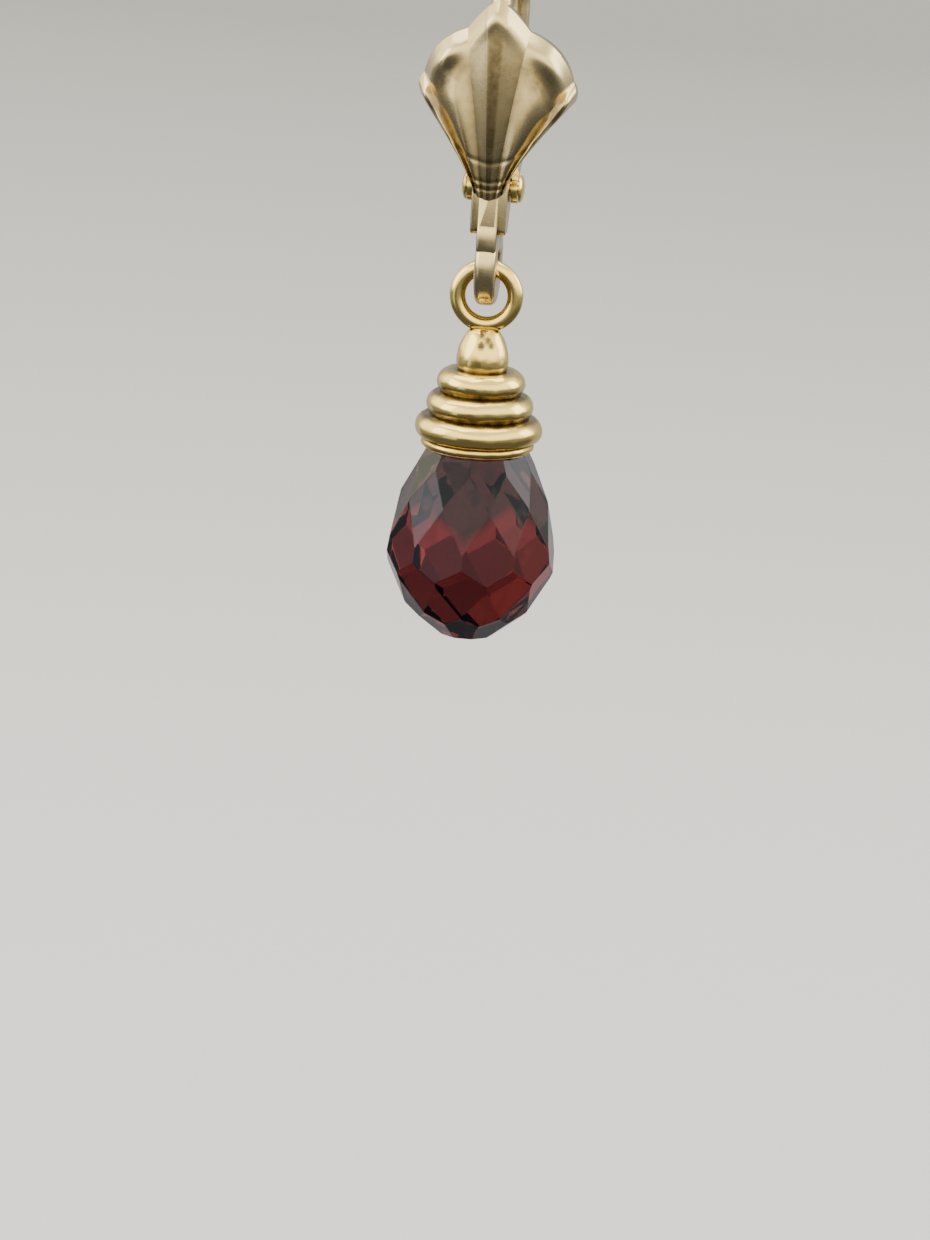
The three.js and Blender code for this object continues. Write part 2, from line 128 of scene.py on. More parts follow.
class Board:
    """The node tree of one material or world."""

    def __init__(self, owner: Any) -> None:
        """Give a material or a world an empty node tree and hold it."""
        owner.use_nodes = True
        self.tree = owner.node_tree
        self.tree.nodes.clear()

    def add(
        self, kind: str, inputs: dict[Any, Any] | None = None, **settings: Any
    ) -> bpy.types.Node:
        """Add one node.

        Args:
            kind: The node's type name.
            inputs: A Signal, a socket or a plain value for each input's name or number.
            **settings: The node's settings, which are set first.

        Returns:
            The new node.
        """
        node = self.tree.nodes.new(kind)
        for name, value in settings.items():
            setattr(node, name, value)
        for name, value in (inputs or {}).items():
            if isinstance(value, Signal):
                value = value.socket
            if isinstance(value, Socket):
                self.tree.links.new(value, node.inputs[name])
            else:
                node.inputs[name].default_value = value
        return node

    def place(self, stretch: Triple = (1.0, 1.0, 1.0)) -> Socket:
        """Give the surface's place in the frame, squeezed along each axis."""
        here = self.add("ShaderNodeTexCoord").outputs["Object"]
        return self.add("ShaderNodeMapping", {"Vector": here, "Scale": stretch}).outputs[0]

    def split(self, vector: Socket) -> list[Signal]:
        """Take a vector apart into its X, Y and Z."""
        node = self.add("ShaderNodeSeparateXYZ", {0: vector})
        return [Signal(self, output) for output in node.outputs]

    def noise(self, per_metre: float, detail: float, stretch: Triple = (1.0, 1.0, 1.0)) -> Signal:
        """Make soft noise from 0 to 1, with its scale and its number of octaves."""
        inputs = {"Vector": self.place(stretch), "Scale": per_metre, "Detail": detail}
        return Signal(self, self.add("ShaderNodeTexNoise", inputs).outputs[0])

    def maths(self, operation: str, first: Any, second: Any) -> Signal:
        """Add a Math node for two signals or numbers."""
        node = self.add("ShaderNodeMath", {0: first, 1: second}, operation=operation)
        return Signal(self, node.outputs[0])

    def attribute(self, name: str) -> Signal:
        """Read a number stored in the mesh by name."""
        node = self.add("ShaderNodeAttribute", attribute_name=name)
        return Signal(self, node.outputs["Fac"])

    def blend(self, share: Signal, first: Any, second: Any) -> Socket:
        """Mix two colours or colour sockets; the share is the second one's."""
        inputs = {"Factor": share, 6: first, 7: second}
        return self.add("ShaderNodeMix", inputs, data_type="RGBA").outputs[2]

    def bump(
        self, height: Signal, distance: float, strength: float, normal: Socket | None = None
    ) -> Socket:
        """Turn a height into a normal.

        Args:
            height: The height, from 0 to 1.
            distance: What 1 stands for, in metres.
            strength: The share of it that shows.
            normal: The normal that it is added to.

        Returns:
            The normal's socket.
        """
        inputs = {"Height": height, "Distance": distance, "Strength": strength}
        if normal is not None:
            inputs["Normal"] = normal
        return self.add("ShaderNodeBump", inputs).outputs[0]

    def surface(self, inputs: dict[str, Any]) -> None:
        """Add the surface's shader and the material's output."""
        shader = self.add("ShaderNodeBsdfPrincipled", inputs)
        self.add("ShaderNodeOutputMaterial", {"Surface": shader.outputs[0]})


@dataclass(frozen=True)
class GoldFinish:
    """Polished 14 carat gold: wear, casting marks and tarnish in its grooves, which also carries
    the painted shade that some pieces store.
    """

    name: str
    body: Colour = (1.0, 0.77, 0.25, 1.0)
    warm: Colour = (0.93, 0.67, 0.21, 1.0)
    warm_share: float = 0.45
    # Colour of the tarnish, and of the painted shade stored with it
    tarnish: Colour = (0.13, 0.098, 0.055, 1.0)
    gloss: float = 0.13
    worn: float = 0.16
    scratched: float = 0.08
    stained: float = 0.08
    blotches: float = 520.0
    grains: float = 2600.0
    scratches: float = 9000.0
    scratch_stretch: Triple = (1.0, 1.0, 6.0)
    scratch_depth: float = 0.0000012
    cast_depth: float = 0.000012

    def material(self) -> Material:
        """Make the material.

        Returns:
            A new material.
        """
        made = bpy.data.materials.new(self.name)
        board = Board(made)
        # Stored per point: tarnish, with painted shade on the shell's front and under the cap's
        # ridges
        groove = board.attribute(TARNISH_AND_SHADE)
        blotch = board.noise(self.blotches, 3.0)
        grain = board.noise(self.grains, 4.0)
        scratch = board.noise(self.scratches, 2.0, self.scratch_stretch)
        worn = blotch.step(0.35, 0.70)
        stain_and_shade = (groove * (0.55 + 0.9 * grain)).kept()
        colour = board.blend(worn * self.warm_share, self.body, self.warm)
        roughness = self.gloss + self.worn * worn * grain
        roughness += self.scratched * scratch.step(0.55, 0.75)
        cast = board.bump(grain * 0.6 + blotch * 0.4, self.cast_depth, 0.5)
        board.surface({
            "Base Color": board.blend(stain_and_shade, colour, self.tarnish),
            "Roughness": (roughness + stain_and_shade * self.stained).kept(0.04, 0.7),
            "Normal": board.bump(scratch, self.scratch_depth, 0.6, cast),
            "Metallic": 1.0,
        })
        return made


@dataclass(frozen=True)
class GarnetFinish:
    """Cut garnet: deep red glass with faint inclusions, painted near black towards the cap as
    painted shade, with a zigzag edge of painted facet reflections.
    """

    name: str
    heart: Colour = (0.12, 0.017, 0.018, 1.0)
    # Colour of the painted shade towards the cap, and of the inclusions
    inclusions_and_painted_shade: Colour = (0.014, 0.014, 0.013, 1.0)
    sheen: Colour = (0.17, 0.20, 0.28, 1.0)
    refraction: float = 1.76
    axis_y: float = -2.95
    # Where the painted shade ends, and the zigzag of painted facet reflections along that edge
    painted_shade_height: float = -23.1
    flame: float = 1.5
    flame_count: float = 5.0
    ragged: float = 1.2
    blur: float = 0.55
    veil: float = 0.3
    polish_depth: float = 0.0000006

    def material(self) -> Material:
        """Make the material.

        Returns:
            A new material.
        """
        made = bpy.data.materials.new(self.name)
        board = Board(made)
        x, y, z = board.split(board.place())
        # Painted shade above a zigzag edge that stands for the lower facets' reflections
        turn = board.maths("ARCTAN2", x, y - self.axis_y * MM) * (self.flame_count / math.pi)
        tongue = board.maths("PINGPONG", turn, 1.0)
        cloud = board.noise(420.0, 3.0)
        tip = self.painted_shade_height * MM - self.flame * MM * tongue + self.ragged * MM * (cloud - 0.5)
        colour = board.blend((z - tip).step(0.0, self.blur * MM), self.heart, self.inclusions_and_painted_shade)
        veil = board.noise(1800.0, 5.0).step(0.62, 0.9) * self.veil
        polish = board.noise(5200.0, 2.0)
        board.surface({
            "Base Color": board.blend(veil, colour, self.inclusions_and_painted_shade),
            "Roughness": 0.02 + 0.03 * polish.step(0.5, 0.8),
            "Normal": board.bump(polish, self.polish_depth, 0.4),
            "IOR": self.refraction,
            "Specular Tint": self.sheen,
            "Transmission Weight": 1.0,
        })
        return made


# Modelling moves


class Bench:
    """The moves that shape every piece; they work in millimetres until a piece is finished."""

    @staticmethod
    def clear() -> None:
        """Leave edit mode and deselect every object."""
        current = bpy.context.object
        if current is not None and current.mode != "OBJECT":
            bpy.ops.object.mode_set(mode="OBJECT")
        bpy.ops.object.select_all(action="DESELECT")

    @classmethod
    def only(cls, piece: Piece) -> None:
        """Select one object and make it active."""
        cls.clear()
        piece.select_set(True)
        bpy.context.view_layer.objects.active = piece

    @staticmethod
    def added(name: str) -> Piece:
        """Name the primitive that was just added."""
        bpy.context.object.name = name
        return bpy.context.object

    @classmethod
    def ring(cls, name: str, sides: int, radius: float, place: Triple) -> Piece:
        """Lay an open circle flat at a place, to be extruded or spun.

        Args:
            name: The new object's name.
            sides: Corners round the circle.
            radius: Its radius in millimetres.
            place: Its centre.

        Returns:
            The circle as an object.
        """
        cls.clear()
        bpy.ops.mesh.primitive_circle_add(
            vertices=sides, radius=radius, fill_type="NOTHING", location=place
        )
        return cls.added(name)

    @staticmethod
    def settle() -> None:
        """Apply the selected object's place, turn and size to its mesh."""
        bpy.ops.object.transform_apply(location=True, rotation=True, scale=True)

    @staticmethod
    def edit() -> None:
        """Enter edit mode with everything selected."""
        bpy.ops.object.mode_set(mode="EDIT")
        bpy.ops.mesh.select_all(action="SELECT")

    @staticmethod
    def leave() -> None:
        """Go back to object mode."""
        bpy.ops.object.mode_set(mode="OBJECT")

    @classmethod
    def close(cls) -> None:
        """Close open rims, merge doubles, turn the faces outwards and leave edit mode."""
        bpy.ops.mesh.select_all(action="SELECT")
        bpy.ops.mesh.remove_doubles(threshold=WELD)
        bpy.ops.mesh.fill_holes(sides=0)
        bpy.ops.mesh.select_all(action="SELECT")
        bpy.ops.mesh.normals_make_consistent(inside=False)
        cls.leave()

    @staticmethod
    def extrude(move: Triple) -> None:
        """Extrude what is selected."""
        bpy.ops.mesh.extrude_region_move(TRANSFORM_OT_translate={"value": move})

    @classmethod
    def push(cls, rise: float, grow: float, centre: Triple) -> None:
        """Extrude the selected ring along Z and resize it about a centre."""
        cls.extrude((0.0, 0.0, rise))
        bpy.ops.transform.resize(value=(grow, grow, 1.0), center_override=centre)

    @classmethod
    def apply(cls, piece: Piece, kind: str, **settings: Any) -> None:
        """Add one modifier to a piece and apply it.

        Args:
            piece: The object to change.
            kind: The modifier's type.
            **settings: The modifier's settings.
        """
        cls.only(piece)
        modifier = piece.modifiers.new(kind.title(), kind)
        for name, value in settings.items():
            setattr(modifier, name, value)
        bpy.ops.object.modifier_apply(modifier=modifier.name)

    @classmethod
    def cut(cls, piece: Piece, tool: Piece, operation: str = "DIFFERENCE") -> None:
        """Take one shape out of another and remove the tool."""
        cls.apply(piece, "BOOLEAN", operation=operation, solver="EXACT", object=tool)
        bpy.data.objects.remove(tool)

    @classmethod
    def join(cls, piece: Piece, other: Piece) -> None:
        """Fuse one shape with another, which becomes part of it."""
        cls.cut(piece, other, "UNION")

    @classmethod
    def soften(cls, piece: Piece, width: float, steps: int, degrees: float = 35.0) -> None:
        """Round every edge sharper than an angle in degrees, with a number of steps."""
        cls.apply(
            piece, "BEVEL", width=width, segments=steps, limit_method="ANGLE",
            angle_limit=math.radians(degrees), use_clamp_overlap=True, miter_outer="MITER_ARC",
        )

    @classmethod
    def turned(
        cls, name: str, profile: Sequence[Pair], centre: Triple, sides: int, axis: Axis = Axis.UP
    ) -> Piece:
        """Turn a piece from its profile: a circle extruded and resized ring by ring.

        Args:
            name: The new object's name.
            profile: Radius and place along the axis of each ring, from one end to the other.
            centre: Where the profile's zero lies.
            sides: The number of sides.
            axis: The direction of the axis.

        Returns:
            The closed piece.
        """
        radius, along = profile[0]
        piece = cls.ring(name, sides, radius, (0.0, 0.0, along))
        cls.edit()
        for next_radius, next_along in profile[1:]:
            cls.push(next_along - along, next_radius / radius, (0.0, 0.0, next_along))
            radius, along = next_radius, next_along
        cls.close()
        cls.settle()
        if axis is Axis.ACROSS:
            piece.rotation_euler = (0.0, math.pi / 2, 0.0)
        piece.location = centre
        cls.settle()
        return piece

    @classmethod
    def rod(cls, name: str, radius: float, half: float, centre: Triple, sides: int) -> Piece:
        """Turn a plain rod that lies across the earring."""
        return cls.turned(name, [(radius, -half), (radius, half)], centre, sides, Axis.ACROSS)

    @classmethod
    def side_plate(cls, name: str, outline: Sequence[Pair], half_width: float) -> Piece:
        """Make a plate from its side outline: a ring set on the outline, filled and extruded.

        Args:
            name: The new object's name.
            outline: The corners as (y, z), in order round the shape.
            half_width: How far it reaches to either side of the middle plane.

        Returns:
            The closed plate.
        """
        piece = cls.ring(name, len(outline), 1.0, (0.0, 0.0, 0.0))
        for vertex, (y, z) in zip(piece.data.vertices, outline):
            vertex.co = (-half_width, y, z)
        cls.edit()
        bpy.ops.mesh.edge_face_add()
        cls.extrude((2.0 * half_width, 0.0, 0.0))
        cls.close()
        return piece

    @classmethod
    def block(cls, name: str, centre: Triple, size: Triple) -> Piece:
        """Make a plain block to cut with.

        Args:
            name: The new object's name.
            centre: Its middle.
            size: Its size along each axis.

        Returns:
            The block.
        """
        cls.clear()
        bpy.ops.mesh.primitive_cube_add(size=1.0, location=centre, scale=size)
        cls.settle()
        return cls.added(name)

    @staticmethod
    def store(piece: Piece, tarnish: Sequence[float]) -> None:
        """Store the tarnish and painted shade of each point of a mesh, which its finish reads."""
        layer = piece.data.attributes.new(TARNISH_AND_SHADE, "FLOAT", "POINT")
        layer.data.foreach_set("value", tarnish)

    @classmethod
    def mark(cls, piece: Piece, tarnish: Callable[[Vector], float]) -> None:
        """Store the tarnish and painted shade that a function gives for each point's place in
        millimetres.
        """
        cls.store(piece, [tarnish(vertex.co) for vertex in piece.data.vertices])

    @classmethod
    def finish(
        cls,
        piece: Piece,
        body: Body,
        node: str,
        finish: Material,
        smooth: float,
        tarnish: Callable[[Vector], float] | None = None,
        slot: Slot = Slot.GOLD,
    ) -> None:
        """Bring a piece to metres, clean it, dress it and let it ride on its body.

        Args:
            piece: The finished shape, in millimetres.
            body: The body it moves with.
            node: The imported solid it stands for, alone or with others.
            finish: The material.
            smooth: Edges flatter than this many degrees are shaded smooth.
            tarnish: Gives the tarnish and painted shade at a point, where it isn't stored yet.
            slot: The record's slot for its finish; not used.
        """
        if tarnish is not None:
            cls.mark(piece, tarnish)
        cls.only(piece)
        cls.settle()
        cls.edit()
        bpy.ops.mesh.remove_doubles(threshold=WELD)
        bpy.ops.mesh.normals_make_consistent(inside=False)
        cls.leave()
        piece.scale = (MM, MM, MM)
        cls.settle()
        if smooth > 0.0:
            bpy.ops.object.shade_smooth_by_angle(angle=math.radians(smooth))
        else:
            bpy.ops.object.shade_flat()
        piece.data.name = piece.name
        piece.data.materials.clear()
        piece.data.materials.append(finish)
        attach(piece, body.value)
        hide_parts(node)
        piece.data.calc_loop_triangles()
        LOG.info("%s: %d triangles on %s", piece.name, len(piece.data.loop_triangles), body.value)


def clamp(value: float) -> float:
    """Keep a number between 0 and 1."""
    return max(0.0, min(1.0, value))


def eased(value: float) -> float:
    """Keep a number between 0 and 1 and let it start and end gently."""
    share = clamp(value)
    return share * share * (3.0 - 2.0 * share)


def hump(away: float, width: float) -> float:
    """Give a smooth hump: 1 in its middle, falling to 0 over about twice its width."""
    return math.exp(-((away / width) ** 2))


def near(place: Vector, centre: Triple, reach: float) -> float:
    """Give 1 at a centre, falling smoothly to 0 at a distance from it."""
    return eased(1.0 - (place - Vector(centre)).length / reach)


def arc(centre: Pair, radius: float, start: float, end: float, steps: int) -> list[Pair]:
    """Give the points of an arc from one angle in degrees to another, both included."""
    angles = [math.radians(start + (end - start) * i / steps) for i in range(steps + 1)]
    return [(centre[0] + radius * math.cos(a), centre[1] + radius * math.sin(a)) for a in angles]


# Pieces


@dataclass
class ShellFront:
    """Fluted shell plate, ear wire, hinge bracket and open loop, soldered together."""

    gold: Material
    top_z: float = -2.6
    height: float = 7.9
    half_width: float = 3.12
    nose_half_width: float = 0.62
    nose_round: float = 0.3
    concavity: float = 1.35
    back_y: float = -4.18
    thickness: float = 0.75
    dome: float = 1.2
    belly: float = 0.45
    belly_fullest: float = 0.6
    back_hollow: float = 0.6
    flute_depth: float = 0.38
    flute_depth_at_nose: float = 0.12
    roll: float = 0.35
    roll_share: float = 0.16
    rim_round: float = 0.13
    columns: int = 160
    rows: int = 110
    row_crowding: float = 0.55
    bead: float = 0.16
    bead_at: float = 0.925
    bead_width: float = 0.055
    hollow: float = 0.14
    hollow_at: float = 0.79
    hollow_width: float = 0.085
    steps_above_nose: Sequence[float] = (0.42, 0.72, 1.5)
    step_depth: float = 0.025
    step_width: float = 0.08
    step_bow: float = 0.12
    # For each lobe the shares of the columns, the half width and the height where it ends,
    # how far its edge bulges and how it bends
    lobes: Sequence[tuple[float, float, float, float, float]] = (
        (0.4, 0.4, 0.845, 0.0, 1.35),
        (0.85, 0.96, 0.6, 0.045, 1.0),
        (1.0, 1.0, 0.5, 0.012, 1.0),
    )
    rib_share: float = 0.14
    rib_sink: float = 0.12
    rib_flank_bend: float = 0.8
    # Tarnish with painted shade over the front, and painted shade on the rib, in the valleys and
    # in the hollows under the rim
    front_stain_and_shade: float = 0.46
    rib_painted_shade: float = 0.4
    valley_painted_shade: float = 0.3
    hollow_painted_shade: float = 0.45
    back_stain: float = 0.55
    most_stain_and_shade: float = 0.9
    rubbed_from: float = 0.8
    rubbed_over: float = 0.12
    wire_radius: float = 0.4
    arch_radius: float = 4.1
    wire_front: float = 2.6
    wire_rear: float = 2.2
    wire_sides: int = 24
    wire_bevel: float = 0.12
    wire_end_share: float = 0.4
    wire_tip: Sequence[Pair] = ((0.16, 0.92), (0.13, 0.8), (0.08, 0.6))
    pin_y: float = -2.8
    pin_z: float = -10.25
    pin_hole: float = 0.33
    bracket_front_y: float = -4.45
    bracket_top: float = 1.1
    bracket_bottom_z: float = -12.0
    bracket_foot: float = 1.2
    bracket_root: float = 0.55
    bracket_wall: float = 0.3
    strap_half_width: float = 0.38
    strap_proud: float = 0.24
    strap_depth: float = 0.5
    strap_round: float = 0.09
    tongue_half_width: float = 0.4
    tongue_proud: float = 0.1
    tongue_above: float = 0.45
    tongue_below: float = 0.7
    tongue_depth: float = 0.9
    tongue_round: float = 0.12
    cheek_half_width: float = 0.72
    cheek_round: float = 0.07
    edge: float = 0.16
    knuckle_radius: float = 0.6
    heel_angle: float = -36.0
    loop_y: float = -2.95
    loop_z: float = -13.35
    loop_hole: float = 0.55
    loop_bar: float = 1.15
    loop_width: float = 0.86
    loop_corner: float = 0.28
    slit: float = 0.1
    slit_angle: float = 25.0
    solder_radius: float = 0.34
    solder_rings: Sequence[Pair] = (
        (0.74, -0.16), (0.95, -0.1), (1.05, 0.0), (0.95, 0.1), (0.74, 0.16)
    )
    solder_stretch: Triple = (1.05, 1.9, 0.8)

    def top_edge(self, share: float) -> Pair:
        """Give the scalloped edge.

        Args:
            share: The column, 0 at the middle and 1 at the corner.

        Returns:
            How far out and how high above the shell's bottom the edge lies there.
        """
        across, out, up = 0.0, 0.0, 1.0
        for end, end_out, end_up, bulge, bend in self.lobes:
            if share <= end + 1e-6:
                break
            across, out, up = end, end_out, end_up
        t = (share - across) / (end - across)
        rounded = 4.0 * t * (1.0 - t) * bulge * self.height
        run = (end_out - out) * self.half_width
        rise = (end_up - up) * self.height
        length = math.hypot(run, rise)
        return (
            out * self.half_width + run * t - rise / length * rounded,
            up * self.height + rise * t**bend + run / length * rounded,
        )

    def sink(self, share: float) -> float:
        """Give how deep a column lies in its flute.

        Args:
            share: The column, 0 at the middle and 1 at the corner.

        Returns:
            0 on the crest of a flute and 1 in the groove beside it.
        """
        start = self.lobes[0][0]
        if share <= self.rib_share:
            return self.rib_sink * (share / self.rib_share) ** 2
        if share <= start:
            flank = (share - self.rib_share) / (start - self.rib_share)
            return self.rib_sink + (1.0 - self.rib_sink) * flank**self.rib_flank_bend
        for end, *_ in self.lobes[1:]:
            if share <= end + 1e-6:
                return 1.0 - math.sin((share - start) / (end - start) * math.pi)
            start = end
        return 1.0

    def hollowed(self, share: float, up: float) -> float:
        """Give 1 in the hollow under the rim of a side lobe, falling to 0 round it."""
        if share <= self.lobes[0][0]:
            return 0.0
        return hump(up - self.hollow_at, self.hollow_width) * (1.0 - self.sink(share))

    def plate_point(self, across: float, up: float, is_back: bool) -> Vector:
        """Give a point of the plate.

        Args:
            across: The column, from -1 to 1.
            up: The row, from 0 at the nose to 1 at the scalloped edge.
            is_back: Whether it lies on the hollow back.

        Returns:
            The point in millimetres.
        """
        share = abs(across)
        edge_x, edge_z = self.top_edge(share)
        foot_z = self.nose_round * share * share
        spread = up ** (1.0 + (self.concavity - 1.0) * share)
        x = share * self.nose_half_width + (edge_x - share * self.nose_half_width) * spread
        z = foot_z + (edge_z - foot_z) * up
        turn = max(0.0, (up - 1.0 + self.roll_share) / self.roll_share) ** 2 * self.roll
        full = min(up / self.belly_fullest, 2.0 - up / self.belly_fullest)
        belly = self.belly * math.sin(math.pi / 2 * full)
        base = self.back_y - self.thickness - belly + self.dome * (x / self.half_width) ** 2
        if is_back:
            y = base + self.thickness + (belly + turn) * self.back_hollow
        else:
            sink = self.sink(share)
            depth = self.flute_depth_at_nose + (self.flute_depth - self.flute_depth_at_nose) * up
            bead = self.bead * hump(up - self.bead_at, self.bead_width) * (1.0 - 0.5 * sink)
            y = base + depth * sink + turn - bead + self.hollow * self.hollowed(share, up)
            bow = self.step_bow * (x / self.nose_half_width) ** 2
            for height in self.steps_above_nose:
                y += self.step_depth * hump(z - height - bow, self.step_width)
        return Vector((math.copysign(x, across), y, self.top_z - self.height + z))

    def stain_and_shade(self, share: float, up: float) -> float:
        """Give the tarnish and painted shade on the front: tarnish with painted shade all over,
        more painted shade on the rib and in the valleys, rubbed off its rim, and painted shade in
        the hollows.

        Args:
            share: The column, 0 at the middle and 1 at the corner.
            up: The row, from 0 at the nose to 1 at the scalloped edge.

        Returns:
            A share from 0 to 1.
        """
        rubbed = clamp((up - self.rubbed_from) / self.rubbed_over)
        # Painted shade on the rib and in the valleys, over the front's tarnish and painted shade
        rib = self.rib_painted_shade * max(0.0, 1.0 - (share / self.rib_share) ** 4)
        left = self.front_stain_and_shade + rib + self.valley_painted_shade * self.sink(share) ** 3
        stain_and_shade = left * (1.0 - rubbed) + self.hollow_painted_shade * self.hollowed(share, up)
        return min(self.most_stain_and_shade, stain_and_shade)

    def plate(self) -> None:
        """Make the plate: a grid drawn into a fan of flutes, extruded back and rounded."""
        Bench.clear()
        bpy.ops.mesh.primitive_grid_add(
            x_subdivisions=self.columns, y_subdivisions=self.rows, size=2.0
        )
        piece = Bench.added("shell_plate")
        shares: dict[tuple[float, ...], Pair] = {}
        for vertex in piece.data.vertices:
            row = clamp((vertex.co.y + 1.0) / 2.0)
            crowd = self.row_crowding * math.sin(2 * math.pi * row) / (2 * math.pi)
            across, up = vertex.co.x, row - crowd
            vertex.co = self.plate_point(across, up, False)
            shares[tuple(round(value, 4) for value in vertex.co)] = (across, up)
        Bench.edit()
        Bench.extrude((0.0, 0.0, 0.0))
        Bench.leave()
        stains_and_shade = []
        for vertex in piece.data.vertices:
            across, up = shares[tuple(round(value, 4) for value in vertex.co)]
            if vertex.select:
                vertex.co = self.plate_point(across, up, True)
            stains_and_shade.append(self.back_stain if vertex.select else self.stain_and_shade(abs(across), up))
        Bench.store(piece, stains_and_shade)
        Bench.soften(piece, self.rim_round, 3, 50.0)
        Bench.finish(piece, Body.FRONT, "shell_front", self.gold, 32.0)

    def ear_wire(self) -> None:
        """Make the ear wire: a circle extruded up, spun over the arch and down to its tip."""
        arch_z = self.wire_radius - self.arch_radius
        bottom = (0.0, -self.arch_radius, arch_z - self.wire_front)
        end_radius = self.wire_end_share * self.wire_radius
        piece = Bench.ring("ear_wire", self.wire_sides, end_radius, bottom)
        Bench.edit()
        Bench.push(self.wire_bevel, 1.0 / self.wire_end_share, bottom)
        Bench.push(self.wire_front - self.wire_bevel, 1.0, bottom)
        bpy.ops.mesh.spin(
            steps=31, angle=math.pi, center=(0.0, 0.0, arch_z), axis=(1.0, 0.0, 0.0)
        )
        tip = (0.0, self.arch_radius, arch_z)
        for drop, grow in ((self.wire_rear, 1.0), *self.wire_tip):
            Bench.push(-drop, grow, tip)
        Bench.close()
        Bench.finish(piece, Body.FRONT, "shell_front", self.gold, 50.0, lambda place: 0.0)

    def bracket_outline(self, front_y: float) -> list[Pair]:
        """Give the bracket's side outline.

        Args:
            front_y: Where its front face lies.

        Returns:
            The corners as (y, z).
        """
        top = self.pin_z + self.bracket_top
        return [
            (front_y, top),
            (front_y, self.bracket_bottom_z + self.edge),
            (front_y + self.edge, self.bracket_bottom_z),
            (self.bracket_front_y + self.bracket_foot, self.bracket_bottom_z),
            *arc((self.pin_y, self.pin_z), self.knuckle_radius, self.heel_angle, 90.0, 14),
            (self.bracket_front_y + self.bracket_root, top),
        ]

    def bracket(self) -> None:
        """Make the bracket: a strap and a tongue on two cheeks, slotted and drilled."""
        front, bottom = self.bracket_front_y, self.bracket_bottom_z
        cheeks = self.bracket_outline(front + self.strap_proud)
        piece = Bench.side_plate("hinge_bracket", cheeks, self.cheek_half_width)
        size = (
            2 * (self.cheek_half_width - self.bracket_wall),
            self.pin_y - front + self.knuckle_radius,
            self.bracket_top - (bottom - self.pin_z),
        )
        root = self.bracket_root
        middle = (0.0, front + root + size[1] / 2, bottom + root + size[2] / 2)
        Bench.cut(piece, Bench.block("slot", middle, size))
        Bench.soften(piece, self.cheek_round, 3)
        behind, top = front + self.strap_depth, self.pin_z + self.bracket_top
        outline = [*self.bracket_outline(front)[:4], (behind, bottom + 0.05), (behind, top)]
        strap = Bench.side_plate("strap", outline, self.strap_half_width)
        Bench.soften(strap, self.strap_round, 3)
        Bench.join(piece, strap)
        above, below = bottom + self.tongue_above, bottom - self.tongue_below
        proud, behind = front - self.tongue_proud, front + self.tongue_depth
        outline = [
            (front, above),
            (proud, bottom + self.tongue_proud),
            (proud, bottom - self.tongue_below / 2),
            (front - self.tongue_proud / 2, below),
            (behind, below),
            (behind, above),
        ]
        tongue = Bench.side_plate("tongue", outline, self.tongue_half_width)
        Bench.soften(tongue, self.tongue_round, 4, 20.0)
        Bench.join(piece, tongue)
        pin = (0.0, self.pin_y, self.pin_z)
        Bench.cut(piece, Bench.rod("pin_hole", self.pin_hole, 1.5, pin, 32))
        Bench.finish(piece, Body.FRONT, "shell_front", self.gold, 35.0, self.bracket_groove)

    def bracket_groove(self, place: Vector) -> float:
        """Give the tarnish beside the strap and inside the slot."""
        beside = self.strap_half_width < abs(place.x) < self.strap_half_width + 0.08
        inside = abs(place.x) < self.strap_half_width and place.y > self.bracket_front_y + 0.4
        return 0.7 if beside or inside else 0.0

    def open_loop(self) -> None:
        """Make the open loop: a plane with rounded corners, spun round nearly a full turn."""
        Bench.clear()
        middle = self.loop_hole + self.loop_bar / 2
        gap = math.degrees(self.slit / middle)
        start = math.radians(self.slit_angle + gap / 2)
        y, z = self.loop_y + middle * math.cos(start), self.loop_z + middle * math.sin(start)
        bpy.ops.mesh.primitive_plane_add(
            size=1.0, location=(0.0, y, z), rotation=(start, 0.0, 0.0)
        )
        piece = Bench.added("open_loop")
        piece.scale = (self.loop_width, self.loop_bar, 1.0)
        Bench.settle()
        Bench.edit()
        bpy.ops.mesh.bevel(affect="VERTICES", offset=self.loop_corner, segments=5, profile=0.5)
        bpy.ops.mesh.select_all(action="SELECT")
        bpy.ops.mesh.spin(
            steps=72,
            angle=-math.radians(360.0 - gap),
            center=(0.0, self.loop_y, self.loop_z),
            axis=(1.0, 0.0, 0.0),
        )
        Bench.close()
        Bench.finish(piece, Body.FRONT, "shell_front", self.gold, 40.0, self.loop_groove)

    def loop_groove(self, place: Vector) -> float:
        """Give the tarnish in the loop's hole and round its solder seam."""
        out = math.hypot(place.y - self.loop_y, place.z - self.loop_z)
        seam = 0.6 if abs(place.z - self.bracket_bottom_z) < 0.12 else 0.0
        return max(seam, 0.5 if out < self.loop_hole + 0.1 else 0.0)

    def solder(self) -> None:
        """Make the solder that runs round the foot of the bracket onto the loop."""
        profile = [(share * self.solder_radius, along) for share, along in self.solder_rings]
        piece = Bench.turned("solder", profile, (0.0, 0.0, 0.0), 32)
        piece.scale = self.solder_stretch
        piece.location = (0.0, self.loop_y, self.bracket_bottom_z - 0.02)
        Bench.settle()
        Bench.finish(piece, Body.FRONT, "shell_front", self.gold, 60.0, lambda place: 0.35)

    def build(self) -> None:
        """Make every piece of the front; together they stand for its solid."""
        for make in (self.plate, self.ear_wire, self.bracket, self.open_loop, self.solder):
            make()


